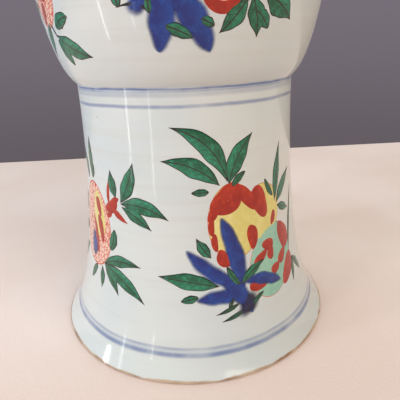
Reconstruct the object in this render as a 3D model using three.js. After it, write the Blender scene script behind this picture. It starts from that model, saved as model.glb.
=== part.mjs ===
// Beaker vase of gu form: a flared foot section, a bulb and a trumpet neck, thrown apart and
// joined with clay slip, over a separate floor disc. Millimetres, +Z up, origin at the centre
// of the face that the foot rests on.
import * as THREE from 'three';

// Driving dimensions: foot section
const FOOT_RADIUS = 66;
const WAIST_RADIUS = 45.8;
const FOOT_SECTION_HEIGHT = 109.1;
const FOOT_KICK = 7.7;
const FOOT_KICK_HEIGHT = 12.5;
const FOOT_EDGE_BEVEL = 0.8;
const FOOT_WALL = 6.5;
const FOOT_RING_INNER_RADIUS = 47;

// Driving dimensions: floor
const FLOOR_RECESS = 8;
const FLOOR_THICKNESS = 7;
const FLOOR_LEDGE = 3;
const FLOOR_LUTE_WIDTH = 5;
const FLOOR_LUTE_HEIGHT = 6;

// Driving dimensions: bulb
const BULB_HEIGHT = 89.7;
const BULB_RADIUS = 57;
const BULB_EQUATOR_SHARE = 0.5;
const BULB_END_ROUND = 2.6;
const BULB_END_ROUND_HEIGHT = 3.5;
const BULB_WALL = 5.5;
const SHOULDER_RADIUS = 44.5;

// Driving dimensions: neck
const NECK_HEIGHT = 188.8;
const NECK_RADIUS = 43.5;
const MOUTH_RADIUS = 93;
const NECK_FLARE_POWER = 2.6;
const NECK_WALL = 5;

// Driving dimensions: joints between the sections
const LUTE_THICKNESS = 1.2;
const FIT_GAP = 0.3;

// Fineness of the faceted solids
const TURN_FACETS = 48;
const WALL_STEPS = 12;
const LIP_STEPS = 6;

// Heights worked out from the driving dimensions
const WAIST_LUTE_BASE = FOOT_SECTION_HEIGHT;
const BULB_BASE = WAIST_LUTE_BASE + LUTE_THICKNESS;
const SHOULDER_LUTE_BASE = BULB_BASE + BULB_HEIGHT;
const NECK_BASE = SHOULDER_LUTE_BASE + LUTE_THICKNESS;
const FLOOR_TOP = FLOOR_RECESS + FLOOR_THICKNESS;
const FLOOR_SEAT_RADIUS = FOOT_RING_INNER_RADIUS + FLOOR_LEDGE;

// Outer radius of the foot section: a parabolic sweep down from the waist, with an outward
// kick that dies away above the foot's edge.
function footOuter(z) {
  const sweep = FOOT_RADIUS - WAIST_RADIUS - FOOT_KICK;
  const below = 1 - z / FOOT_SECTION_HEIGHT;
  return WAIST_RADIUS + sweep * below ** 2 + FOOT_KICK * Math.exp(-z / FOOT_KICK_HEIGHT) * below;
}

// Outer radius of the bulb: two parabolas that meet at the equator, each tucked in sharply
// over the last few millimetres before its joint.
function bulbOuter(z) {
  const equator = BULB_HEIGHT * BULB_EQUATOR_SHARE;
  const lower = z < equator;
  const reach = lower ? equator : BULB_HEIGHT - equator;
  const endRadius = lower ? WAIST_RADIUS : SHOULDER_RADIUS;
  const fromEnd = lower ? z : BULB_HEIGHT - z;
  const swell = BULB_RADIUS - endRadius - BULB_END_ROUND;
  const tuck = BULB_END_ROUND * Math.exp(-fromEnd / BULB_END_ROUND_HEIGHT);
  return BULB_RADIUS - swell * (1 - fromEnd / reach) ** 2 - tuck;
}

// Outer radius of the neck, which opens to the mouth by a power of its height.
function neckOuter(z) {
  const share = Math.max(0, z / NECK_HEIGHT);
  return NECK_RADIUS + (MOUTH_RADIUS - NECK_RADIUS) * share ** NECK_FLARE_POWER;
}

// Points of a wall face from height `from` to height `to`, `inset` mm inside the outer face.
function facePoints(outer, from, to, inset) {
  const points = [];
  for (let step = 0; step <= WALL_STEPS; step += 1) {
    const z = from + ((to - from) * step) / WALL_STEPS;
    points.push(new THREE.Vector2(outer(z) - inset, z));
  }
  return points;
}

// Turns a closed profile of radius and height about the upright axis.
function turned(name, profile, base, colour, roughness) {
  const geometry = new THREE.LatheGeometry(profile, TURN_FACETS);
  const material = new THREE.MeshStandardMaterial({ color: colour, roughness, metalness: 0 });
  const mesh = new THREE.Mesh(geometry, material);
  mesh.name = name;
  mesh.rotation.x = Math.PI / 2;
  mesh.position.z = base;
  return mesh;
}

// Foot section: flared wall over a broad foot ring with a ledge for the floor
function footSection() {
  const outside = facePoints(footOuter, FOOT_EDGE_BEVEL, FOOT_SECTION_HEIGHT, 0);
  const insideBase = FLOOR_TOP + FLOOR_LUTE_HEIGHT;
  const inside = facePoints(footOuter, FOOT_SECTION_HEIGHT, insideBase, FOOT_WALL);
  const profile = [
    new THREE.Vector2(FOOT_RADIUS - FOOT_EDGE_BEVEL, 0),
    ...outside,
    ...inside,
    new THREE.Vector2(FLOOR_SEAT_RADIUS, FLOOR_TOP),
    new THREE.Vector2(FLOOR_SEAT_RADIUS, FLOOR_RECESS),
    new THREE.Vector2(FOOT_RING_INNER_RADIUS, FLOOR_RECESS),
    new THREE.Vector2(FOOT_RING_INNER_RADIUS, 0),
    new THREE.Vector2(FOOT_RADIUS - FOOT_EDGE_BEVEL, 0),
  ];
  return turned('foot_section', profile, 0, 0xdfe3ea, 0.16);
}

// Floor: a flat disc on the foot section's ledge
function baseFloor() {
  const radius = FLOOR_SEAT_RADIUS - FIT_GAP;
  const profile = [
    new THREE.Vector2(0, 0),
    new THREE.Vector2(radius, 0),
    new THREE.Vector2(radius, FLOOR_THICKNESS),
    new THREE.Vector2(0, FLOOR_THICKNESS),
  ];
  return turned('base_floor', profile, FLOOR_RECESS, 0xdccbb4, 0.7);
}

// Slip fillet in the corner between the floor and the wall
function floorLute() {
  const cornerRadius = FLOOR_SEAT_RADIUS - FIT_GAP;
  const wallTop = footOuter(FLOOR_TOP + FLOOR_LUTE_HEIGHT) - FOOT_WALL - FIT_GAP;
  const profile = [
    new THREE.Vector2(cornerRadius - FLOOR_LUTE_WIDTH, 0),
    new THREE.Vector2(Math.min(cornerRadius, wallTop), 0),
    new THREE.Vector2(wallTop, FLOOR_LUTE_HEIGHT),
    new THREE.Vector2(wallTop - FLOOR_LUTE_WIDTH * 0.6, FLOOR_LUTE_HEIGHT * 0.35),
    new THREE.Vector2(cornerRadius - FLOOR_LUTE_WIDTH, 0),
  ];
  return turned('floor_lute', profile, FLOOR_TOP, 0xe4e0d8, 0.5);
}

// Flat ring of slip between two sections, flush with their outer faces
function sectionLute(name, radius, wall, base) {
  const profile = [
    new THREE.Vector2(radius - wall, 0),
    new THREE.Vector2(radius, 0),
    new THREE.Vector2(radius, LUTE_THICKNESS),
    new THREE.Vector2(radius - wall, LUTE_THICKNESS),
    new THREE.Vector2(radius - wall, 0),
  ];
  return turned(name, profile, base, 0xd9dfe8, 0.25);
}

// Bulb between the waist and the shoulder
function bulbSection() {
  const outside = facePoints(bulbOuter, 0, BULB_HEIGHT, 0);
  const inside = facePoints(bulbOuter, BULB_HEIGHT, 0, BULB_WALL);
  return turned('bulb_section', [...outside, ...inside, outside[0].clone()], BULB_BASE, 0xe1e5ec, 0.16);
}

// Trumpet neck with a rounded lip, whose round is half the wall wide
function trumpetNeck() {
  const lipRadius = NECK_WALL / 2;
  const lipBase = NECK_HEIGHT - lipRadius;
  const lipCentre = neckOuter(lipBase) - lipRadius;
  const outside = facePoints(neckOuter, 0, lipBase, 0);
  const inside = facePoints(neckOuter, lipBase, 0, NECK_WALL);
  const lip = [];
  for (let step = 1; step < LIP_STEPS; step += 1) {
    const angle = (Math.PI * step) / LIP_STEPS;
    const x = lipCentre + lipRadius * Math.cos(angle);
    lip.push(new THREE.Vector2(x, lipBase + lipRadius * Math.sin(angle)));
  }
  const profile = [...outside, ...lip, ...inside, outside[0].clone()];
  return turned('trumpet_neck', profile, NECK_BASE, 0xe1e5ec, 0.16);
}

const vase = new THREE.Group();
vase.add(footSection());
vase.add(baseFloor());
vase.add(floorLute());
vase.add(sectionLute('waist_lute', WAIST_RADIUS, FOOT_WALL, WAIST_LUTE_BASE));
vase.add(bulbSection());
vase.add(sectionLute('shoulder_lute', SHOULDER_RADIUS, BULB_WALL, SHOULDER_LUTE_BASE));
vase.add(trumpetNeck());

export default vase;
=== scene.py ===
"""A painted porcelain beaker vase of gu form: flared foot, bulb and trumpet neck.

Smooth turned surfaces stand for the faceted sections, and the enamel painting lies on them as
thin closed strokes that follow the wall. Sizes are in millimetres and become metres in the mesh.
"""

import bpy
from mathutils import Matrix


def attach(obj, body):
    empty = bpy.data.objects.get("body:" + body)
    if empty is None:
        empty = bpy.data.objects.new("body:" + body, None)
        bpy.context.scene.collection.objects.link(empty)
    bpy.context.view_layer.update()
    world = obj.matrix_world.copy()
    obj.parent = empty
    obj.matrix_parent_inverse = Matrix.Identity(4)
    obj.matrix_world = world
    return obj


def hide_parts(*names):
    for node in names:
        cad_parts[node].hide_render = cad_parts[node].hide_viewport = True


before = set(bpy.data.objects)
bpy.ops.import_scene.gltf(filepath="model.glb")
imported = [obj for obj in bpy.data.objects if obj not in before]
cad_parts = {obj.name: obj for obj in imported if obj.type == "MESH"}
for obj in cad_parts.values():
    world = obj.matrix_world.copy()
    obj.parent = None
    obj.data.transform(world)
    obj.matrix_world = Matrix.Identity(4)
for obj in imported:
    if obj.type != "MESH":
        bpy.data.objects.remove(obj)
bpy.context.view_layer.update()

import logging
import math
from dataclasses import dataclass
from enum import Enum

import bmesh
import bpy
import numpy as np
from mathutils import Matrix, Vector

LOG = logging.getLogger("gu_vase")
MM = 0.001
SMOOTH_ANGLE = 40.0
STROKE_SMOOTH_ANGLE = 60.0
WELD_DISTANCE = 0.00001
PAINT_ROOT_DEPTH = 0.12
BODY = "root"
Colour = tuple[float, float, float, float]


@dataclass(frozen=True)
class Form:
    """The vase's driving sizes, as its solids have them."""

    foot_radius: float = 66.0
    waist_radius: float = 45.8
    foot_height: float = 109.1
    foot_kick: float = 7.7
    foot_kick_height: float = 12.5
    foot_bevel: float = 0.8
    foot_wall: float = 6.5
    foot_ring_inner: float = 47.0
    floor_recess: float = 8.0
    floor_thickness: float = 7.0
    floor_ledge: float = 3.0
    floor_lute_width: float = 5.0
    floor_lute_height: float = 6.0
    lute: float = 1.2
    fit_gap: float = 0.3
    bulb_height: float = 89.7
    bulb_radius: float = 57.0
    bulb_round: float = 2.6
    bulb_round_height: float = 3.5
    bulb_wall: float = 5.5
    shoulder_radius: float = 44.5
    neck_height: float = 188.8
    neck_radius: float = 43.5
    mouth_radius: float = 93.0
    neck_power: float = 2.6
    neck_wall: float = 5.0

    @property
    def bulb_base(self) -> float:
        """Height of the bulb's lower end."""
        return self.foot_height + self.lute

    @property
    def neck_base(self) -> float:
        """Height of the neck's lower end."""
        return self.bulb_base + self.bulb_height + self.lute

    def foot_outer(self, z: np.ndarray) -> np.ndarray:
        """Outer radius of the foot section: a parabola from the waist plus a decaying kick.

        Args:
            z: heights above the resting face.

        Returns:
            Radii in millimetres.
        """
        below = 1 - z / self.foot_height
        sweep = self.foot_radius - self.waist_radius - self.foot_kick
        kick = self.foot_kick * np.exp(-z / self.foot_kick_height) * below
        return self.waist_radius + sweep * below**2 + kick

    def bulb_outer(self, z: np.ndarray) -> np.ndarray:
        """Outer radius of the bulb: two parabolas meeting at the equator, tucked in at the ends.

        Args:
            z: heights above the bulb's lower end.

        Returns:
            Radii in millimetres.
        """
        half = self.bulb_height / 2
        from_end = half - np.abs(z - half)
        end = np.where(z < half, self.waist_radius, self.shoulder_radius)
        swell = self.bulb_radius - end - self.bulb_round
        tuck = self.bulb_round * np.exp(-from_end / self.bulb_round_height)
        return self.bulb_radius - swell * (1 - from_end / half) ** 2 - tuck

    def neck_outer(self, z: np.ndarray) -> np.ndarray:
        """Outer radius of the neck, which opens by a power of its height.

        Args:
            z: heights above the neck's lower end.

        Returns:
            Radii in millimetres.
        """
        share = np.clip(z / self.neck_height, 0, 1)
        return self.neck_radius + (self.mouth_radius - self.neck_radius) * share**self.neck_power

    def outer(self, z: np.ndarray) -> np.ndarray:
        """Outer radius of the whole vase at heights above the resting face.

        Args:
            z: heights in millimetres.

        Returns:
            Radii in millimetres.
        """
        foot = self.foot_outer(np.clip(z, 0, self.foot_height))
        bulb = self.bulb_outer(np.clip(z - self.bulb_base, 0, self.bulb_height))
        neck = self.neck_outer(z - self.neck_base)
        above = np.where(z < self.neck_base, bulb, neck)
        return np.where(z < self.bulb_base, foot, above)


FORM = Form()


def rgb(red: float, green: float, blue: float) -> Colour:
    """A linear colour from red, green and blue in 0 to 255 as seen."""
    seen = np.array([red, green, blue]) / 255
    linear = np.where(seen <= 0.04045, seen / 12.92, ((seen + 0.055) / 1.055) ** 2.4)
    return (float(linear[0]), float(linear[1]), float(linear[2]), 1.0)


def mesh_object(
    name: str, points: np.ndarray, faces: list, smooth_angle: float = SMOOTH_ANGLE
) -> bpy.types.Object:
    """An object at the origin with its place in its mesh.

    Args:
        name: the piece's name.
        points: vertices in millimetres, one row each.
        faces: lists of vertex numbers, turned outwards.
        smooth_angle: degrees above which an edge stays sharp.

    Returns:
        The linked object.
    """
    mesh = bpy.data.meshes.new(name)
    mesh.from_pydata((points * MM).tolist(), [], faces)
    mesh.update()
    mesh.shade_smooth()
    mesh.set_sharp_from_angle(angle=math.radians(smooth_angle))
    piece = bpy.data.objects.new(name, mesh)
    bpy.context.scene.collection.objects.link(piece)
    return piece


def turned(name: str, profile: np.ndarray, around: int = 288) -> bpy.types.Object:
    """Turns a closed outline of radius and height about the upright axis.

    Point (i, j) is (r_i cos t_j, r_i sin t_j, z_i), with t_j equal steps of a full turn.

    Args:
        name: the piece's name.
        profile: rows of radius and height, up the outside and down the inside.
        around: steps of the turn.

    Returns:
        The turned piece.
    """
    turn = np.linspace(0, 2 * math.pi, around, endpoint=False)
    radius, height = profile[:, :1], profile[:, 1:]
    grid = np.stack(
        [radius * np.cos(turn), radius * np.sin(turn), height + 0 * turn], axis=-1
    ).reshape(-1, 3)
    rows = len(profile)
    row, column = np.meshgrid(np.arange(rows), np.arange(around), indexing="ij")
    next_row, next_column = (row + 1) % rows, (column + 1) % around
    corners = [row * around + column, row * around + next_column,
               next_row * around + next_column, next_row * around + column]
    return mesh_object(name, grid, np.stack(corners, axis=-1).reshape(-1, 4).tolist())


def disc(name: str, radius: float, low: float, high: float, bevel: float = 0.5) -> bpy.types.Object:
    """A flat disc turned about the axis, its two poles closed by fans.

    Args:
        name: the piece's name.
        radius: the disc's radius.
        low: height of its underside.
        high: height of its top.
        bevel: width of the worn edges.

    Returns:
        The disc.
    """
    around = 192
    outline = np.array([(radius * 0.5, low), (radius - bevel, low), (radius, low + bevel),
                        (radius, high - bevel), (radius - bevel, high), (radius * 0.5, high)])
    turn = np.linspace(0, 2 * math.pi, around, endpoint=False)
    rings = np.stack([outline[:, :1] * np.cos(turn), outline[:, :1] * np.sin(turn),
                      outline[:, 1:] + 0 * turn], axis=-1).reshape(-1, 3)
    points = np.vstack([rings, [[0, 0, low], [0, 0, high]]])
    row, column = np.meshgrid(np.arange(len(outline) - 1), np.arange(around), indexing="ij")
    after = (column + 1) % around
    quads = np.stack([row * around + column, row * around + after,
                      (row + 1) * around + after, (row + 1) * around + column], axis=-1)
    step = np.arange(around)
    last = (len(outline) - 1) * around
    pole = len(points) - 2
    under = np.stack([step * 0 + pole, (step + 1) % around, step], axis=-1)
    top = np.stack([step * 0 + pole + 1, last + step, last + (step + 1) % around], axis=-1)
    return mesh_object(name, points, quads.reshape(-1, 4).tolist() + under.tolist() + top.tolist())


class Nodes:
    """Builds one node tree, with short calls for the nodes that the finishes use."""

    def __init__(self, tree: bpy.types.NodeTree) -> None:
        """Keeps the tree."""
        self.tree = tree

    def add(self, kind: str, **settings: object) -> bpy.types.Node:
        """Adds a node and sets its properties and inputs.

        Args:
            kind: the node's type name.
            settings: properties by name, or inputs by name with spaces as underscores.

        Returns:
            The node.
        """
        node = self.tree.nodes.new(kind)
        for name, value in settings.items():
            if hasattr(node, name):
                setattr(node, name, value)
                continue
            by_number = name[0] == "i" and name[1:].isdigit()
            socket = node.inputs[int(name[1:]) if by_number else name.replace("_", " ")]
            if isinstance(value, bpy.types.NodeSocket):
                self.tree.links.new(value, socket)
            else:
                socket.default_value = value
        return node

    def math(
        self, operation: str, first: object, second: object = 0.0, clamp: bool = False
    ) -> bpy.types.NodeSocket:
        """The result of one sum on two values."""
        node = self.add("ShaderNodeMath", operation=operation, use_clamp=clamp, i0=first, i1=second)
        return node.outputs[0]

    def ramp(self, value: object, low: float, high: float) -> bpy.types.NodeSocket:
        """A smooth step of a value from 0 at low to 1 at high."""
        step = self.add("ShaderNodeMapRange", interpolation_type="SMOOTHSTEP", Value=value)
        step.inputs["From Min"].default_value = low
        step.inputs["From Max"].default_value = high
        return step.outputs[0]

    def mix(self, share: object, first: object, second: object) -> bpy.types.NodeSocket:
        """A colour between two colours."""
        node = self.add("ShaderNodeMix", data_type="RGBA")
        share_in, first_in, second_in = node.inputs[0], node.inputs[6], node.inputs[7]
        for socket, value in ((share_in, share), (first_in, first), (second_in, second)):
            if isinstance(value, bpy.types.NodeSocket):
                self.tree.links.new(value, socket)
            else:
                socket.default_value = value
        return node.outputs[2]

    def noise(self, place: object, scale: float, detail: float = 3.0) -> bpy.types.NodeSocket:
        """Even noise in 0 to 1 at a place."""
        return self.add("ShaderNodeTexNoise", Vector=place, Scale=scale, Detail=detail).outputs[0]


def group(name: str, inputs: dict[str, tuple[str, object]], outputs: dict[str, str]) -> tuple:
    """A new shader node group with named sockets.

    Args:
        name: the group's name.
        inputs: socket type and starting value by name.
        outputs: socket type by name.

    Returns:
        The tree, its builder, its input node and its output node.
    """
    tree = bpy.data.node_groups.new(name, "ShaderNodeTree")
    for label, (kind, value) in inputs.items():
        socket = tree.interface.new_socket(label, in_out="INPUT", socket_type=kind)
        if value is not None:
            socket.default_value = value
    for label, kind in outputs.items():
        tree.interface.new_socket(label, in_out="OUTPUT", socket_type=kind)
    nodes = Nodes(tree)
    return tree, nodes, nodes.add("NodeGroupInput"), nodes.add("NodeGroupOutput")


def ring_line_group() -> bpy.types.NodeTree:
    """A soft painted ring at one height: 1 on the line and 0 off it, wavering with the brush."""
    tree, n, inside, out = group(
        "painted_ring",
        {"Place": ("NodeSocketVector", None), "Height": ("NodeSocketFloat", 0.1),
         "Half Width": ("NodeSocketFloat", 0.0005), "Softness": ("NodeSocketFloat", 0.0004),
         "Strength": ("NodeSocketFloat", 1.0)},
        {"Mask": "NodeSocketFloat"})
    place = inside.outputs["Place"]
    height = n.add("ShaderNodeSeparateXYZ", i0=place).outputs[2]
    waver = n.math("MULTIPLY", n.math("SUBTRACT", n.noise(place, 38.0), 0.5), 0.0012)
    away = n.math("ABSOLUTE", n.math("SUBTRACT", n.math("ADD", height, waver), inside.outputs["Height"]))
    past = n.math("SUBTRACT", away, inside.outputs["Half Width"])
    fade = n.math("SUBTRACT", 1.0, n.math("DIVIDE", past, inside.outputs["Softness"]), clamp=True)
    load = n.ramp(n.noise(place, 90.0), 0.25, 0.6)
    load = n.math("ADD", n.math("MULTIPLY", load, 0.45), 0.55)
    mask = n.math("MULTIPLY", n.math("MULTIPLY", fade, load), inside.outputs["Strength"], clamp=True)
    tree.links.new(mask, out.inputs["Mask"])
    return tree


def glaze_group() -> bpy.types.NodeTree:
    """The white glaze: cloudy tint, iron specks and pinholes, and faint turning lines."""
    tree, n, inside, out = group(
        "porcelain_glaze",
        {"Place": ("NodeSocketVector", None), "Tint": ("NodeSocketColor", None),
         "Pool Tint": ("NodeSocketColor", None)},
        {"Color": "NodeSocketColor", "Roughness": "NodeSocketFloat", "Height": "NodeSocketFloat"})
    place = inside.outputs["Place"]
    cloud = n.ramp(n.noise(place, 22.0), 0.35, 0.7)
    colour = n.mix(cloud, inside.outputs["Tint"], inside.outputs["Pool Tint"])
    flat = n.add("ShaderNodeMapping", Vector=place, Scale=(6.0, 6.0, 420.0)).outputs[0]
    turning = n.noise(flat, 1.0, 2.0)
    colour = n.mix(n.math("MULTIPLY", n.ramp(turning, 0.5, 0.75), 0.3), colour, rgb(196, 196, 188))
    specks = n.add("ShaderNodeTexVoronoi", Vector=place, Scale=150.0)
    lot = n.add("ShaderNodeSeparateColor", i0=specks.outputs["Color"]).outputs[0]
    chosen = n.math("GREATER_THAN", lot, 0.93)
    dot = n.math("MULTIPLY", n.math("SUBTRACT", 1.0, n.ramp(specks.outputs["Distance"], 0.03, 0.075)), chosen)
    colour = n.mix(n.math("MULTIPLY", dot, 0.6), colour, rgb(120, 96, 74))
    rough = n.math("ADD", n.math("MULTIPLY", n.noise(place, 60.0), 0.07), 0.07)
    ripple = n.math("ADD", n.math("MULTIPLY", turning, 0.5), n.math("MULTIPLY", n.noise(place, 180.0), 0.14))
    height = n.math("SUBTRACT", ripple, n.math("MULTIPLY", dot, 0.5))
    for name, socket in (("Color", colour), ("Roughness", rough), ("Height", height)):
        tree.links.new(socket, out.inputs[name])
    return tree


def stroke_group() -> bpy.types.NodeTree:
    """Marks of one brushed stroke, from its own attribute in millimetres.

    The attribute holds the way in from the stroke's edge, the way across from its middle line
    and the way along it. The group gives an outline, a midrib with side veins, and a soft edge.
    """
    tree, n, inside, out = group(
        "brushed_stroke",
        {"Outline": ("NodeSocketFloat", 0.35), "Vein Gap": ("NodeSocketFloat", 2.6),
         "Soft Edge": ("NodeSocketFloat", 1.4)},
        {"Outline": "NodeSocketFloat", "Veins": "NodeSocketFloat", "Soft": "NodeSocketFloat",
         "Load": "NodeSocketFloat"})
    marks = n.add("ShaderNodeAttribute", attribute_name="stroke_mm").outputs["Vector"]
    split = n.add("ShaderNodeSeparateXYZ", i0=marks)
    edge, across, along = split.outputs[0], split.outputs[1], split.outputs[2]
    waver = n.math("MULTIPLY", n.math("SUBTRACT", n.noise(marks, 1.1), 0.5), 0.35)
    wavering_edge = n.math("ADD", edge, waver)
    past = n.math("SUBTRACT", wavering_edge, inside.outputs["Outline"])
    outline = n.math("SUBTRACT", 1.0, n.ramp(past, -0.08, 0.12))
    rib = n.math("SUBTRACT", 1.0, n.ramp(n.math("ADD", n.math("ABSOLUTE", across), waver), 0.12, 0.28))
    slant = n.math("SUBTRACT", along, n.math("MULTIPLY", n.math("ABSOLUTE", across), 1.2))
    cell = n.math("FRACT", n.math("DIVIDE", slant, inside.outputs["Vein Gap"]))
    side = n.math("LESS_THAN", cell, 0.09)
    side = n.math("MULTIPLY", side, n.ramp(edge, 0.3, 0.8))
    veins = n.math("MAXIMUM", rib, n.math("MULTIPLY", side, 0.8))
    soft_way = n.math("ADD", edge, n.math("MULTIPLY", waver, 1.5))
    soft = n.ramp(n.math("DIVIDE", soft_way, inside.outputs["Soft Edge"]), 0.05, 1.0)
    drift = n.math("MULTIPLY", n.ramp(across, -1.2, 2.4), 0.4)
    load = n.math("ADD", n.math("MULTIPLY", n.ramp(n.noise(marks, 0.42), 0.42, 0.7), 0.5), drift)
    for name, socket in (("Outline", outline), ("Veins", veins), ("Soft", soft), ("Load", load)):
        tree.links.new(socket, out.inputs[name])
    return tree


def scale_net_group() -> bpy.types.NodeTree:
    """A net of fine lines between rounded cells, as on the skin of a ripe fruit."""
    tree, n, inside, out = group(
        "scale_net", {"Cell": ("NodeSocketFloat", 0.45)}, {"Mask": "NodeSocketFloat"})
    marks = n.add("ShaderNodeAttribute", attribute_name="stroke_mm").outputs["Vector"]
    cells = n.add("ShaderNodeTexVoronoi", feature="DISTANCE_TO_EDGE", Vector=marks)
    tree.links.new(inside.outputs["Cell"], cells.inputs["Scale"])
    line = n.math("SUBTRACT", 1.0, n.ramp(cells.outputs["Distance"], 0.04, 0.1))
    tree.links.new(line, out.inputs["Mask"])
    return tree


GROUPS = {
    "ring": ring_line_group(),
    "glaze": glaze_group(),
    "stroke": stroke_group(),
    "net": scale_net_group(),
}


def place_group(n: Nodes, name: str) -> bpy.types.Node:
    """Places one of the shared groups in a material's tree."""
    node = n.add("ShaderNodeGroup")
    node.node_tree = GROUPS[name]
    return node


def new_material(name: str) -> tuple[bpy.types.Material, Nodes, bpy.types.Node]:
    """An empty material with its shader.

    Args:
        name: the material's name.

    Returns:
        The material, its tree's builder and its Principled shader.
    """
    material = bpy.data.materials.new(name)
    material.use_nodes = True
    material.node_tree.nodes.clear()
    n = Nodes(material.node_tree)
    shader = n.add("ShaderNodeBsdfPrincipled")
    output = n.add("ShaderNodeOutputMaterial")
    material.node_tree.links.new(shader.outputs[0], output.inputs["Surface"])
    return material, n, shader


@dataclass(frozen=True)
class PaintedRing:
    """A cobalt ring under the glaze, in millimetres."""

    height: float
    half_width: float
    softness: float
    strength: float


@dataclass(frozen=True)
class GlazedPorcelain:
    """White porcelain glaze with cobalt rings under it and a bare foot edge."""

    name: str
    rings: tuple[PaintedRing, ...] = ()
    bare_below: float = -10.0
    tint: Colour = rgb(209, 213, 211)
    pool: Colour = rgb(200, 208, 210)
    cobalt: Colour = rgb(60, 88, 150)
    biscuit: Colour = rgb(188, 164, 138)
    burnt: Colour = rgb(150, 112, 84)

    def build(self) -> bpy.types.Material:
        """Makes the material.

        Returns:
            The finished material.
        """
        material, n, shader = new_material(self.name)
        place = n.add("ShaderNodeTexCoord").outputs["Object"]
        glaze = place_group(n, "glaze")
        n.tree.links.new(place, glaze.inputs["Place"])
        glaze.inputs["Tint"].default_value = self.tint
        glaze.inputs["Pool Tint"].default_value = self.pool
        colour = glaze.outputs["Color"]
        for ring in self.rings:
            line = place_group(n, "ring")
            n.tree.links.new(place, line.inputs["Place"])
            line.inputs["Height"].default_value = ring.height * MM
            line.inputs["Half Width"].default_value = ring.half_width * MM
            line.inputs["Softness"].default_value = ring.softness * MM
            line.inputs["Strength"].default_value = ring.strength
            colour = n.mix(line.outputs["Mask"], colour, self.cobalt)
        height = n.add("ShaderNodeSeparateXYZ", i0=place).outputs[2]
        ragging = n.math("MULTIPLY", n.math("SUBTRACT", n.noise(place, 120.0), 0.5), 0.0016)
        ragged = n.math("ADD", height, ragging)
        low, high = (self.bare_below - 0.3) * MM, (self.bare_below + 0.3) * MM
        bare = n.math("SUBTRACT", 1.0, n.ramp(ragged, low, high))
        clay = n.mix(n.ramp(n.noise(place, 70.0), 0.4, 0.65), self.biscuit, self.burnt)
        colour = n.mix(bare, colour, clay)
        n.tree.links.new(colour, shader.inputs["Base Color"])
        rough = n.math("ADD", glaze.outputs["Roughness"], n.math("MULTIPLY", bare, 0.6), clamp=True)
        n.tree.links.new(rough, shader.inputs["Roughness"])
        grain = n.math("MULTIPLY", n.math("MULTIPLY", n.noise(place, 1400.0), bare), 1.2)
        bump = n.add("ShaderNodeBump", Strength=0.35, Distance=0.0001)
        n.tree.links.new(n.math("ADD", glaze.outputs["Height"], grain), bump.inputs["Height"])
        n.tree.links.new(bump.outputs[0], shader.inputs["Normal"])
        shader.inputs["Coat Weight"].default_value = 0.35
        shader.inputs["Coat Roughness"].default_value = 0.05
        return material


@dataclass(frozen=True)
class BareClay:
    """Unglazed fired clay: buff with orange burns and a fine sandy grain."""

    name: str
    buff: Colour = rgb(214, 190, 156)
    burnt: Colour = rgb(184, 128, 84)

    def build(self) -> bpy.types.Material:
        """Makes the material.

        Returns:
            The finished material.
        """
        material, n, shader = new_material(self.name)
        place = n.add("ShaderNodeTexCoord").outputs["Object"]
        colour = n.mix(n.ramp(n.noise(place, 45.0), 0.4, 0.7), self.buff, self.burnt)
        n.tree.links.new(colour, shader.inputs["Base Color"])
        rough = n.math("ADD", n.math("MULTIPLY", n.noise(place, 200.0), 0.2), 0.65)
        n.tree.links.new(rough, shader.inputs["Roughness"])
        bump = n.add("ShaderNodeBump", Strength=0.5, Distance=0.0002, Height=n.noise(place, 1500.0))
        n.tree.links.new(bump.outputs[0], shader.inputs["Normal"])
        return material


class Look(Enum):
    """How a stroke's enamel shows."""

    VEINED = "veined"
    PLAIN = "plain"
    NETTED = "netted"
    SOFT = "soft"


@dataclass(frozen=True)
class Enamel:
    """One painter's colour, with its thin and thick loads and its outline."""

    name: str
    thick: Colour
    thin: Colour
    line: Colour
    look: Look
    outline: float = 0.3
    soft_edge: float = 1.4
    roughness: float = 0.16

    def build(self) -> bpy.types.Material:
        """Makes the material.

        Returns:
            The finished material.
        """
        material, n, shader = new_material(self.name)
        stroke = place_group(n, "stroke")
        stroke.inputs["Outline"].default_value = self.outline
        stroke.inputs["Soft Edge"].default_value = self.soft_edge
        colour = n.mix(stroke.outputs["Load"], self.thick, self.thin)
        if self.look is Look.NETTED:
            colour = n.mix(place_group(n, "net").outputs["Mask"], colour, self.line)
        if self.look is Look.VEINED:
            colour = n.mix(stroke.outputs["Veins"], colour, self.line)
        if self.look is Look.SOFT:
            n.tree.links.new(stroke.outputs["Soft"], shader.inputs["Alpha"])
        else:
            colour = n.mix(stroke.outputs["Outline"], colour, self.line)
        n.tree.links.new(colour, shader.inputs["Base Color"])
        rough = n.math("ADD", n.math("MULTIPLY", stroke.outputs["Load"], 0.08), self.roughness)
        n.tree.links.new(rough, shader.inputs["Roughness"])
        shader.inputs["Coat Weight"].default_value = 0.3
        shader.inputs["Coat Roughness"].default_value = 0.06
        return material


GREEN = Enamel("green_enamel", rgb(0, 86, 56), rgb(44, 148, 114), rgb(34, 30, 24), Look.VEINED, outline=0.34)
COBALT = Enamel("cobalt_wash", rgb(0, 34, 114), rgb(14, 72, 156), rgb(20, 30, 84), Look.SOFT, soft_edge=2.2)
DARK_COBALT = Enamel(
    "dark_cobalt", rgb(16, 18, 52), rgb(26, 32, 86), rgb(12, 14, 40), Look.SOFT, soft_edge=3.4)
IRON_RED = Enamel("iron_red", rgb(154, 22, 0), rgb(188, 50, 10), rgb(176, 56, 24), Look.PLAIN, outline=0.12)
YELLOW = Enamel(
    "yellow_enamel", rgb(214, 200, 116), rgb(228, 214, 144), rgb(190, 80, 48), Look.PLAIN, outline=0.16)
TURQUOISE = Enamel(
    "turquoise_enamel", rgb(134, 186, 166), rgb(158, 200, 180), rgb(206, 84, 56), Look.PLAIN, outline=0.18)
PINK = Enamel(
    "pink_skin", rgb(226, 186, 166), rgb(232, 200, 180), rgb(198, 74, 54), Look.NETTED, outline=0.35)


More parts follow.
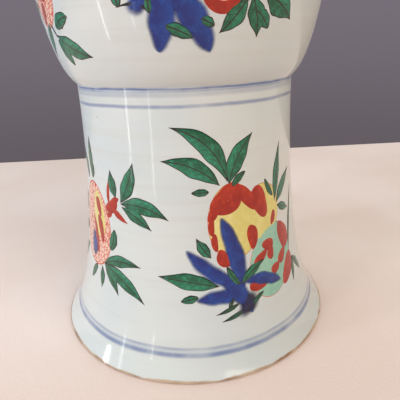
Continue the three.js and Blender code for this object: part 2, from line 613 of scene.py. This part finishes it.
@dataclass(frozen=True)
class Leaf:
    """A pointed stroke from a root to a tip, in millimetres from its spray's centre."""

    root: tuple[float, float]
    tip: tuple[float, float]
    width: float
    bend: float = 0.0
    paint: Enamel = GREEN
    lift: float = 0.13

    @property
    def fullness(self) -> float:
        """How full the ends are: a loaded wash ends bluntly, a long leaf in a stalk and a tip."""
        length = math.dist(self.root, self.tip)
        if self.paint.look is Look.SOFT:
            return 0.45
        return 0.7 if length < 10 else 1.25


@dataclass(frozen=True)
class Blot:
    """A rounded stroke about a centre, in millimetres from its spray's centre."""

    centre: tuple[float, float]
    half_long: float
    half_wide: float
    tilt: float = 0.0
    paint: Enamel = IRON_RED
    lift: float = 0.1
    wobble: float = 0.12


# The great fruit spray: a two-lobed yellow fruit, a turquoise one, and its leaves
FRUIT_SPRAY: tuple = (
    Blot((12, 9), 12, 9.5, 90, YELLOW, 0.04, 0.03),
    Blot((-2, 8), 15.5, 11, 95, YELLOW, 0.05, 0.03),
    Blot((15.6, -12.5), 15.5, 12.6, 74, TURQUOISE, 0.06, 0.03),
    Blot((-4.6, 17), 7.4, 5.6, 24), Blot((3.4, 17), 8, 2.6, -50), Blot((-10, 13.5), 5, 2, 62),
    Blot((-11.6, 7.5), 3.8, 1.4, 88),
    Blot((-10.6, 1), 3.8, 1.4, 98), Blot((5.6, 0.5), 5.2, 2.7, 88), Blot((-7.6, -6), 4.2, 2.4, -62),
    Blot((10.2, 13.6), 6.8, 4.2, -72), Blot((17.6, 5), 3.4, 1.4, 74),
    Blot((24, -5), 6.8, 4.0, -76), Blot((13.4, -5.5), 3.4, 2.8, 0), Blot((14.4, -9.5), 3.3, 2.0, 90),
    Blot((8.8, -9.8), 4.2, 2.1, 38), Blot((21.5, -13.5), 3.9, 2.4, 42), Blot((16.5, -17), 3.2, 2.1, 26),
    Blot((25, -20.5), 6.8, 3.8, 62), Blot((6.2, -21), 4.6, 1.9, -12),
    Leaf((-4.3, 24), (-26, 45), 7.4, -4.6), Leaf((-7.6, 23), (-30, 33), 7.0, -2.6),
    Leaf((-3.8, 23), (7.6, 41), 7.2, 1.8), Leaf((-2.5, 22), (3.6, 27), 2.8, 0.4),
    Leaf((-12, 21), (-18.7, 21), 2.8), Leaf((19.5, 11), (24.6, 35), 4.6, 0.4),
    Leaf((18.3, 14), (13.6, 22), 2.6, 0.4), Leaf((20.4, 10), (34, 22), 4.8, 0.8),
    Leaf((21, 9), (31, 5), 3.6), Leaf((28, -14), (37, 14), 2.0, 1.0),
    Leaf((30, -18), (38, -29), 3.2, 0.6), Leaf((30, -18), (28, -29), 2.8, 0.5),
    Leaf((-0.6, -20), (-8, 11), 9.0, -1.4, COBALT, 0.16),
    Leaf((-3.4, -18), (-22, -1), 7.6, 1.0, COBALT, 0.165),
    Leaf((0, -22), (-19, -22), 7.8, -0.6, COBALT, 0.17),
    Leaf((0.5, -17), (19, -23.5), 7.4, 1.2, COBALT, 0.16),
    Leaf((-9, -12), (2.6, -31), 8.4, 0.8, COBALT, 0.175), Blot((1.2, -26.8), 6.4, 4.8, 60, DARK_COBALT, 0.2),
    Leaf((-12.4, -5), (-17.8, 3.5), 4.2, 0.3, lift=0.24),
    Leaf((-1.8, -18), (-6.5, -9.5), 2.8, 0.3, lift=0.24),
    Leaf((-1.7, -18), (11, -10.5), 4.0, 0.8, lift=0.24), Leaf((-10, -17), (-33, -12), 6.8, -0.6, lift=0.2),
    Leaf((-18, -20.5), (-24.5, -22), 3.2, lift=0.2), Leaf((-2, -25), (-12, -28.5), 1.7, 0.4, lift=0.2),
    Leaf((0, -28), (-10, -31.5), 1.8, 0.4, lift=0.2), Leaf((2.5, -28), (8.5, -24), 2.0, 0.4, lift=0.2),
    Leaf((-7, -27), (-4.5, -22), 1.4, lift=0.2),
)

# The pomegranate spray: a netted fruit with a red crown between leaves
POMEGRANATE_SPRAY: tuple = (
    Blot((-10, -1), 18.5, 12, 94, PINK, 0.05, 0.03), Blot((-6.5, 4), 11, 4.6, 100, YELLOW, 0.08, 0.08),
    Blot((-6.5, 8), 5, 2.0, 108), Blot((-5, -1), 6, 2.2, 104), Blot((-9, -5), 9, 1.6, 102),
    Blot((-11, -10), 7.5, 4.0, 104, COBALT, 0.14),
    Blot((3.2, 10), 3.8, 2.8, 30, IRON_RED, 0.14, 0.16), Leaf((1.6, 10), (2.1, 21), 1.8, 0.6, IRON_RED),
    Leaf((3, 10), (12, 4.5), 2.6, -0.4, IRON_RED), Leaf((3, 8), (0, 5), 2.4, 0.2, IRON_RED),
    Leaf((3, 11), (7.5, 14), 2.8, 0.2, IRON_RED),
    Leaf((6, 14), (3.4, 25), 4.6, 0.6), Leaf((8.5, 12.5), (15.7, 29), 6.2, -0.8),
    Leaf((8.5, 12), (29.5, 7.5), 6.4, 2.4),
    Leaf((9, 11), (22.5, 3), 4.8, 0.8), Leaf((1.7, -9), (4.3, 0.5), 4.4, -0.6),
    Leaf((-2.5, -16), (17.4, -13), 5.0, 2.0),
    Leaf((-2.5, -16), (19, -28), 6.0, 1.8), Leaf((-2.5, -16), (6.8, -27.5), 4.4, 0.8),
    Leaf((-4, -18), (-3.8, -28), 3.2, 0.3), Leaf((-8, -19), (-12.8, -27), 3.0, -0.4),
    Leaf((-11.5, 20), (-12.5, 36), 4.6, 0.6), Leaf((-11, 19), (-10.5, 26), 3.8, 0.2),
    Leaf((-16, 18), (-24, 30), 4.4, -0.6),
    Leaf((-20, -14), (-30, -24), 4.6, -0.8), Leaf((-22, 2), (-36, 8), 5.4, -1.2),
    Leaf((-21, -4), (-34, -8), 4.8, 1.0),
)

# The bulb's hanging sprays, whose tips reach down towards the waist
BULB_BLUE: tuple = (
    Leaf((-5, 15), (-7.8, -5), 10.0, 0.6, COBALT, 0.16),
    Leaf((-3.5, 13), (8.6, -5.5), 10.0, 1.0, COBALT, 0.165),
    Blot((-12, 9), 5.0, 3.4, 50, COBALT, 0.15), Leaf((-2, 14), (-14, 24), 8.0, 1.0, COBALT, 0.16),
    Blot((12, 11.5), 6.8, 6.2, 0, IRON_RED, 0.12, 0.04), Blot((12, 12), 4.4, 3.8, 0, PINK, 0.18, 0.06),
    Leaf((-8, 6), (-19, 8), 1.0, -1.5), Leaf((-18, 8), (-19, 16), 3.4, 0.4),
    Leaf((-9, 6), (-9, 11), 2.6, 0.3),
    Leaf((-5, 2.5), (3, -1), 3.8, 0.3, lift=0.22), Leaf((5.5, 4), (9.5, 2), 3.0, 0.2, lift=0.22),
    Leaf((15, 7), (27, 11), 0.8, 0.5), Leaf((25, 10.5), (37.5, 3.5), 8.2, 1.0),
    Leaf((21, 10), (24, -1.5), 6.0, 0.6),
    Leaf((23, 6), (28, 1), 4.4, 0.3), Leaf((19.5, 9.5), (11, 0), 5.6, 0.6), Leaf((17.5, 8), (18.5, 13), 3.2),
    Leaf((4, 22), (10, 36), 6.4, 0.8), Leaf((2, 22), (-6, 38), 6.4, -0.8),
    Blot((4, 30), 9, 8, 0, YELLOW, 0.05, 0.04), Blot((2, 33), 4, 2.4, 30), Blot((7, 28), 3.4, 1.8, -50),
)
BULB_PEACH: tuple = (
    Blot((0, 14), 9, 8, 30, PINK, 0.05, 0.04), Blot((-2, 10), 4, 1.8, 60), Blot((3, 16), 4.4, 1.8, 40),
    Leaf((3.5, 3), (20.5, -4.5), 6.0, -1.0), Leaf((3, 1.5), (8, -7), 4.6, 0.3), Leaf((1, 7), (3.5, 2), 1.0),
    Leaf((0, 7), (-8, -4), 4.6, -0.6), Leaf((5, 5), (14, 8), 4.6, 0.8),
    Leaf((0, 22), (-10, 36), 6.4, -1.0), Leaf((2, 22), (12, 34), 6.4, 1.0), Leaf((8, 14), (20, 16), 5.4, 0.8),
    Leaf((-8, 14), (-20, 12), 5.4, 0.8),
)


@dataclass(frozen=True)
class Placing:
    """Where a spray is painted: the turn from the front in degrees, its height and its size."""

    spray: tuple
    turn: float
    height: float
    size: float = 1.0
    mirrored: bool = False


PLACINGS: tuple[Placing, ...] = (
    Placing(FRUIT_SPRAY, 22, 52), Placing(POMEGRANATE_SPRAY, -45, 55),
    Placing(FRUIT_SPRAY, 150, 52, 1.0, True), Placing(POMEGRANATE_SPRAY, -112, 55, 1.0, True),
    Placing(POMEGRANATE_SPRAY, 205, 55),
    Placing(BULB_BLUE, 0, 126), Placing(BULB_PEACH, -57, 125), Placing(BULB_PEACH, 98, 125, 1.0, True),
    Placing(BULB_BLUE, 158, 126, 1.0, True), Placing(BULB_PEACH, 206, 125), Placing(BULB_BLUE, -112, 126),
    Placing(FRUIT_SPRAY, 20, 285, 1.15), Placing(POMEGRANATE_SPRAY, -80, 290, 1.15),
    Placing(FRUIT_SPRAY, 140, 285, 1.15, True), Placing(POMEGRANATE_SPRAY, 215, 290, 1.15),
)


class Painting:
    """All strokes of each colour, gathered as one piece for each section and colour."""

    def __init__(self) -> None:
        """Starts with no strokes."""
        self.strokes: dict[tuple[str, Enamel], list] = {}
        self.random = np.random.default_rng(7)

    def leaf_sheet(self, leaf: Leaf, size: float) -> tuple[np.ndarray, np.ndarray]:
        """The flat sheet of a leaf, in millimetres from the spray's centre.

        Its middle line is a parabola between root and tip, and its width a power of a sine.

        Args:
            leaf: the stroke.
            size: the spray's size.

        Returns:
            Places (along, across, 2) and marks (along, across, 3).
        """
        along, across = np.linspace(0, 1, 41), np.linspace(-1, 1, 9)
        root, tip = np.array(leaf.root) * size, np.array(leaf.tip) * size
        way = tip - root
        length = float(np.hypot(*way))
        normal = np.array([-way[1], way[0]]) / length
        middle = root + along[:, None] * way + (4 * leaf.bend * size * along * (1 - along))[:, None] * normal
        slope = np.gradient(middle, along, axis=0)
        side = np.stack([-slope[:, 1], slope[:, 0]], axis=-1)
        side /= np.linalg.norm(side, axis=1, keepdims=True)
        phase = self.random.uniform(0, 6.28)
        notch = 1 + 0.05 * np.sin(along * 17 + phase)
        swell = np.maximum(np.sin(math.pi * along**0.88), 0.0) ** leaf.fullness
        half = leaf.width * size / 2 * swell * notch + 0.07
        offset = across[None, :] * half[:, None]
        sheet = middle[:, None, :] + offset[..., None] * side[:, None, :]
        way_along = (along * length)[:, None] + 0 * offset
        marks = np.stack([half[:, None] - np.abs(offset), offset, way_along], axis=-1)
        return sheet, marks

    def blot_sheet(self, blot: Blot, size: float) -> tuple[np.ndarray, np.ndarray]:
        """The flat sheet of a rounded stroke: rings of a wavering oval.

        Args:
            blot: the stroke.
            size: the spray's size.

        Returns:
            Places (ring, around, 2) and marks (ring, around, 3).
        """
        share, turn = np.linspace(0.02, 1, 9), np.linspace(0, 2 * math.pi, 41)
        first, second = self.random.uniform(0, 6.28, 2)
        waver = 1 + blot.wobble * (np.sin(2 * turn + first) * 0.6 + np.sin(3 * turn + second) * 0.6)
        long = blot.half_long * size * share[:, None] * np.cos(turn) * waver
        wide = blot.half_wide * size * share[:, None] * np.sin(turn) * waver
        tilt = math.radians(blot.tilt)
        x = blot.centre[0] * size + long * math.cos(tilt) - wide * math.sin(tilt)
        z = blot.centre[1] * size + long * math.sin(tilt) + wide * math.cos(tilt)
        edge = (1 - share[:, None]) * blot.half_wide * size * waver
        return np.stack([x, z], axis=-1), np.stack([edge, wide, long], axis=-1)

    def wrap(self, sheet: np.ndarray, placing: Placing, lift: np.ndarray) -> np.ndarray:
        """Lays a flat sheet on the vase's outer face.

        Args:
            sheet: places in millimetres from the spray's centre.
            placing: where the spray is.
            lift: the paint's height over the wall.

        Returns:
            Places in space.
        """
        z = placing.height + sheet[..., 1]
        centre_radius = FORM.outer(np.array(placing.height))
        sign = -1.0 if placing.mirrored else 1.0
        angle = math.radians(placing.turn) + sign * sheet[..., 0] / centre_radius
        radius = FORM.outer(z) + lift
        return np.stack([radius * np.sin(angle), -radius * np.cos(angle), z], axis=-1)

    def add(self, stroke: Leaf | Blot, placing: Placing, section: str) -> None:
        """Adds one stroke as a closed, slightly domed skin that is rooted in the wall.

        Args:
            stroke: a leaf or a blot.
            placing: where its spray is.
            section: the section that carries it.
        """
        is_leaf = isinstance(stroke, Leaf)
        make_sheet = self.leaf_sheet if is_leaf else self.blot_sheet
        sheet, marks = make_sheet(stroke, placing.size)
        slope = 2.5 if stroke.paint.look is Look.SOFT else 0.25
        dome = stroke.lift * np.clip(marks[..., 0] / slope, 0.15, 1)
        top = self.wrap(sheet, placing, dome)
        under = self.wrap(sheet, placing, 0 * dome - PAINT_ROOT_DEPTH)
        rows, columns = sheet.shape[:2]
        index = np.arange(rows * columns).reshape(rows, columns)
        corners = [index[:-1, :-1], index[1:, :-1], index[1:, 1:], index[:-1, 1:]]
        quads = np.stack(corners, axis=-1).reshape(-1, 4)
        below = quads[:, ::-1] + rows * columns
        if is_leaf:
            rim = np.concatenate([index[:, 0], index[-1, 1:], index[-2::-1, -1], index[0, -2:0:-1]])
        else:
            rim = index[-1, :-1]
        after = np.roll(rim, -1)
        wall = np.stack([rim, rim + rows * columns, after + rows * columns, after], axis=-1)
        faces = np.vstack([quads, below, wall])
        points = np.vstack([top.reshape(-1, 3), under.reshape(-1, 3)])
        both = np.vstack([marks.reshape(-1, 3), marks.reshape(-1, 3)])
        self.strokes.setdefault((section, stroke.paint), []).append((points, faces, both))

    def build(self) -> list[bpy.types.Object]:
        """Makes one piece for each section and colour.

        Returns:
            The pieces.
        """
        made = []
        materials: dict[str, bpy.types.Material] = {}
        for (section, paint), strokes in self.strokes.items():
            starts = np.cumsum([0] + [len(points) for points, _, _ in strokes])
            points = np.vstack([part[0] for part in strokes])
            faces = np.vstack([part[1] + start for part, start in zip(strokes, starts)])
            piece = mesh_object(f"{section}_{paint.name}", points, faces.tolist(), STROKE_SMOOTH_ANGLE)
            marks = piece.data.attributes.new("stroke_mm", "FLOAT_VECTOR", "POINT")
            marks.data.foreach_set("vector", np.vstack([part[2] for part in strokes]).ravel())
            tidy_strokes(piece)
            if paint.name not in materials:
                materials[paint.name] = paint.build()
            piece.data.materials.append(materials[paint.name])
            made.append(piece)
        return made


def tidy_strokes(piece: bpy.types.Object) -> None:
    """Closes each stroke's seam and pole and turns its faces outwards."""
    work = bmesh.new()
    work.from_mesh(piece.data)
    bmesh.ops.remove_doubles(work, verts=work.verts, dist=WELD_DISTANCE)
    bmesh.ops.recalc_face_normals(work, faces=work.faces)
    work.to_mesh(piece.data)
    work.free()
    piece.data.shade_smooth()


@dataclass
class Vase:
    """The vase's turned sections and their painting."""

    steps: int = 60
    lip_steps: int = 12

    def face(self, outer: object, low: float, high: float, base: float, inset: float = 0.0) -> np.ndarray:
        """Points of a wall face from one height to another, set in from the outer face."""
        z = np.linspace(low, high, self.steps)
        return np.stack([outer(z) - inset, z + base], axis=-1)

    def dress(
        self, piece: bpy.types.Object, node: str | None, material: bpy.types.Material | None
    ) -> None:
        """Lets a piece ride the vase's body and stand for its solid.

        Args:
            piece: the piece.
            node: the solid it stands for, if any.
            material: its finish, if it has none yet.
        """
        if material is not None:
            piece.data.materials.append(material)
        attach(piece, BODY)
        if node is not None:
            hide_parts(node)
        LOG.info("%s: %d faces", piece.name, len(piece.data.polygons))

    def foot(self) -> bpy.types.Object:
        """The foot section with its ring and floor ledge."""
        f = FORM
        floor_top = f.floor_recess + f.floor_thickness
        seat = f.foot_ring_inner + f.floor_ledge
        edge = float(f.foot_outer(np.array(f.foot_bevel)))
        outline = np.vstack([
            [(f.foot_ring_inner + 0.6, 0), (f.foot_radius - f.foot_bevel - 1.0, 0), (edge - 0.5, 0.35)],
            self.face(f.foot_outer, f.foot_bevel, f.foot_height, 0),
            self.face(f.foot_outer, f.foot_height, floor_top + f.floor_lute_height, 0, f.foot_wall),
            [(seat, floor_top), (seat, f.floor_recess)],
            [(f.foot_ring_inner, f.floor_recess), (f.foot_ring_inner, 0.6)],
        ])
        return turned("foot_section_glazed", outline)

    def bulb(self) -> bpy.types.Object:
        """The bulb."""
        f = FORM
        return turned("bulb_section_glazed", np.vstack([
            self.face(f.bulb_outer, 0, f.bulb_height, f.bulb_base),
            self.face(f.bulb_outer, f.bulb_height, 0, f.bulb_base, f.bulb_wall)]))

    def neck(self) -> bpy.types.Object:
        """The trumpet neck with its rounded lip."""
        f = FORM
        lip = f.neck_wall / 2
        lip_base = f.neck_height - lip
        centre = float(f.neck_outer(np.array(lip_base))) - lip
        turn = np.linspace(0, math.pi, self.lip_steps)[1:-1]
        arc = np.stack([centre + lip * np.cos(turn), f.neck_base + lip_base + lip * np.sin(turn)], axis=-1)
        return turned("trumpet_neck_glazed", np.vstack([
            self.face(f.neck_outer, 0, lip_base, f.neck_base), arc,
            self.face(f.neck_outer, lip_base, 0, f.neck_base, f.neck_wall)]))

    def lute(self, name: str, radius: float, wall: float, base: float) -> bpy.types.Object:
        """A flat slip ring between two sections, flush with both."""
        top = base + FORM.lute
        inner = radius - wall
        return turned(name, np.array([(inner, base), (radius, base), (radius, top), (inner, top)]))

    def build(self) -> None:
        """Makes and dresses every piece."""
        f = FORM
        waist = f.foot_height + f.lute / 2
        foot_glaze = GlazedPorcelain("glazed_foot", (
            PaintedRing(waist - 0.6, 0.15, 0.4, 0.5), PaintedRing(108.0, 0.5, 0.9, 0.26),
            PaintedRing(103.9, 0.25, 0.7, 0.6), PaintedRing(9.3, 0.35, 0.8, 0.7),
            PaintedRing(11.6, 0.15, 0.6, 0.4),
            PaintedRing(10.6, 0.5, 0.8, 0.2)), bare_below=1.35)
        bulb_glaze = GlazedPorcelain("glazed_bulb", (PaintedRing(waist + 0.2, 0.1, 0.5, 0.5),
                                                     PaintedRing(199.0, 0.5, 0.8, 0.85)))
        neck_glaze = GlazedPorcelain("glazed_neck", (
            PaintedRing(202.6, 0.5, 0.8, 0.85), PaintedRing(206.4, 0.45, 0.8, 0.7),
            PaintedRing(380.0, 0.5, 0.9, 0.8), PaintedRing(384.0, 0.6, 0.9, 0.8)))
        clay = BareClay("bare_clay").build()
        bulb_finish = bulb_glaze.build()
        self.dress(self.foot(), "foot_section", foot_glaze.build())
        self.dress(self.bulb(), "bulb_section", bulb_finish)
        self.dress(self.neck(), "trumpet_neck", neck_glaze.build())
        waist_lute = self.lute("waist_lute_glazed", f.waist_radius, f.foot_wall, f.foot_height)
        line = GlazedPorcelain("glazed_waist", (PaintedRing(waist, 0.2, 0.5, 0.8),)).build()
        self.dress(waist_lute, "waist_lute", line)
        shoulder_base = f.bulb_base + f.bulb_height
        shoulder = self.lute("shoulder_lute_glazed", f.shoulder_radius, f.bulb_wall, shoulder_base)
        line = GlazedPorcelain("glazed_shoulder", (PaintedRing(shoulder_base + 0.6, 0.3, 0.8, 0.6),)).build()
        self.dress(shoulder, "shoulder_lute", line)
        seat = f.foot_ring_inner + f.floor_ledge - f.fit_gap
        floor_top = f.floor_recess + f.floor_thickness
        base = disc("base_floor_clay", seat, f.floor_recess, floor_top)
        self.dress(base, "base_floor", clay)
        wall = float(f.foot_outer(np.array(floor_top + f.floor_lute_height))) - f.foot_wall - f.fit_gap
        fillet_turn = np.linspace(0, math.pi / 2, 9)
        low = np.array([seat - f.floor_lute_width, floor_top])
        fillet = np.stack([low[0] + (wall - low[0]) * (1 - np.cos(fillet_turn)),
                           floor_top + f.floor_lute_height * np.sin(fillet_turn) ** 2], axis=-1)[::-1]
        outline = np.vstack([[(min(seat, wall), floor_top)], fillet])
        self.dress(turned("floor_lute_slip", outline), "floor_lute", bulb_finish)
        self.paint()

    def paint(self) -> None:
        """Paints every spray on the section that carries it."""
        painting = Painting()
        for placing in PLACINGS:
            section = "foot" if placing.height < FORM.foot_height else "bulb"
            section = "neck" if placing.height > FORM.neck_base else section
            for stroke in placing.spray:
                painting.add(stroke, placing, section)
        for piece in painting.build():
            self.dress(piece, None, None)


@dataclass(frozen=True)
class Studio:
    """The camera, the pale cloth floor and plain soft light."""

    camera_back: float = 178.1
    camera_height: float = 122.46
    pitch: float = 0.3787
    roll: float = -0.0411
    yaw: float = 0.025
    lens: float = 34.65
    floor_back: float = 289.0
    floor_reach: float = 4000.0
    window_side: Colour = (0.86, 0.95, 1.0, 1.0)
    room_side: Colour = (0.58, 0.45, 0.32, 1.0)
    wall_low: Colour = rgb(98, 91, 96)
    wall_high: Colour = rgb(119, 112, 121)

    def camera(self) -> None:
        """Sets the camera at the photograph's place and angle."""
        data = bpy.data.cameras.new("camera")
        data.lens, data.sensor_width, data.clip_start = self.lens, 36.0, 0.01
        eye = bpy.data.objects.new("camera", data)
        ahead = Vector((math.sin(self.yaw) * math.cos(self.pitch), math.cos(self.yaw) * math.cos(self.pitch),
                        -math.sin(self.pitch)))
        right = ahead.cross(Vector((0, 0, 1))).normalized()
        up = right.cross(ahead)
        turned_right = right * math.cos(self.roll) + up * math.sin(self.roll)
        turned_up = -right * math.sin(self.roll) + up * math.cos(self.roll)
        turn = Matrix((turned_right, turned_up, -ahead)).transposed()
        place = Matrix.Translation((0, -self.camera_back * MM, self.camera_height * MM))
        eye.matrix_world = place @ turn.to_4x4()
        bpy.context.scene.collection.objects.link(eye)
        bpy.context.scene.camera = eye

    def floor(self) -> None:
        """Lays the pale cloth that the vase stands on, painted darker towards the camera as a painted shadow
        in front of the foot.
        """
        reach, back = self.floor_reach, self.floor_back
        near = [(-reach, -reach, 0), (reach, -reach, 0)]
        points = np.array([*near, (reach, back + 60, 0), (-reach, back - 60, 0)])
        cloth = mesh_object("cloth_floor", points - np.array([0, 0, 0.05]), [[0, 1, 2, 3]])
        material, n, shader = new_material("pale_cloth")
        place = n.add("ShaderNodeTexCoord").outputs["Object"]
        far = n.mix(n.ramp(n.noise(place, 9.0), 0.35, 0.65), rgb(248, 233, 228), rgb(243, 225, 218))
        # Painted shadow: the cloth nearer the camera, in front of the foot, is painted darker to stand for
        # the vase's shade on it.
        nearness = n.add("ShaderNodeSeparateXYZ", i0=place).outputs[1]
        colour = n.mix(n.ramp(nearness, -0.13, 0.04), rgb(232, 211, 202), far)
        n.tree.links.new(colour, shader.inputs["Base Color"])
        shader.inputs["Roughness"].default_value = 0.9
        weave = n.add("ShaderNodeBump", Strength=0.3, Distance=0.0004, Height=n.noise(place, 900.0))
        n.tree.links.new(weave.outputs[0], shader.inputs["Normal"])
        cloth.data.materials.append(material)

    def lamp(self, name: str, place: tuple, target: tuple, size: tuple, watts: float, colour: tuple,
             in_glaze: bool = True) -> None:
        """Hangs one soft lamp.

        Args:
            name: its name.
            place: its middle in millimetres.
            target: the point it faces.
            size: its width and height in millimetres.
            watts: its power.
            colour: its colour.
            in_glaze: whether the glaze mirrors it.
        """
        data = bpy.data.lights.new(name, "AREA")
        data.shape, data.size, data.size_y = "RECTANGLE", size[0] * MM, size[1] * MM
        data.energy, data.color = watts, colour
        lamp = bpy.data.objects.new(name, data)
        lamp.visible_camera = False
        lamp.visible_glossy = in_glaze
        lamp.location = Vector(place) * MM
        lamp.rotation_euler = (Vector(target) - Vector(place)).to_track_quat("-Z", "Y").to_euler()
        bpy.context.scene.collection.objects.link(lamp)

    def light(self) -> None:
        """Sets the world and the lamps."""
        world = bpy.data.worlds.new("studio")
        world.use_nodes = True
        world.node_tree.nodes.clear()
        n = Nodes(world.node_tree)
        outward = n.add("ShaderNodeTexCoord").outputs["Generated"]
        way = n.add("ShaderNodeSeparateXYZ", i0=outward)
        toward, upward = way.outputs[0], way.outputs[2]
        wall = n.mix(n.ramp(upward, -0.3, 0.12), self.wall_low, self.wall_high)
        seen = n.add("ShaderNodeBackground", Color=wall, Strength=1.0)
        room = n.mix(n.ramp(toward, -0.7, 0.9), self.window_side, self.room_side)
        fill = n.add("ShaderNodeBackground", Color=room, Strength=0.79)
        path = n.add("ShaderNodeLightPath").outputs
        mirrored = n.math("MULTIPLY", path["Is Glossy Ray"], 0.6)
        choose = n.add("ShaderNodeMixShader", i0=n.math("MAXIMUM", path["Is Camera Ray"], mirrored),
                       i1=fill.outputs[0], i2=seen.outputs[0])
        output = n.add("ShaderNodeOutputWorld")
        world.node_tree.links.new(choose.outputs[0], output.inputs["Surface"])
        bpy.context.scene.world = world
        middle = (0, 0, 80)
        self.lamp("window_near", (-900, -260, 420), middle, (60, 700), 2.1, (0.9, 0.95, 1.0))
        self.lamp("window_far", (-800, -620, 420), middle, (120, 700), 2.5, (0.92, 0.96, 1.0), False)
        self.lamp("pane_left", (-305, -188, 150), (-21, -41, 150), (5, 300), 0.045, (0.92, 0.96, 1.0))
        self.lamp("pane_right", (-208, -298, 40), (-13, -45, 40), (3, 75), 0.007, (0.92, 0.96, 1.0))
        self.lamp("room_fill", (600, -700, 900), middle, (900, 900), 6.4, (1.0, 0.93, 0.82))

    def build(self) -> None:
        """Sets up the camera, floor and light."""
        self.camera()
        self.floor()
        self.light()
        bpy.context.scene.view_settings.view_transform = "Standard"


def main() -> None:
    """Builds the studio and the vase."""
    logging.basicConfig(level=logging.INFO)
    Studio().build()
    Vase().build()


if __name__ == "__main__":
    main()
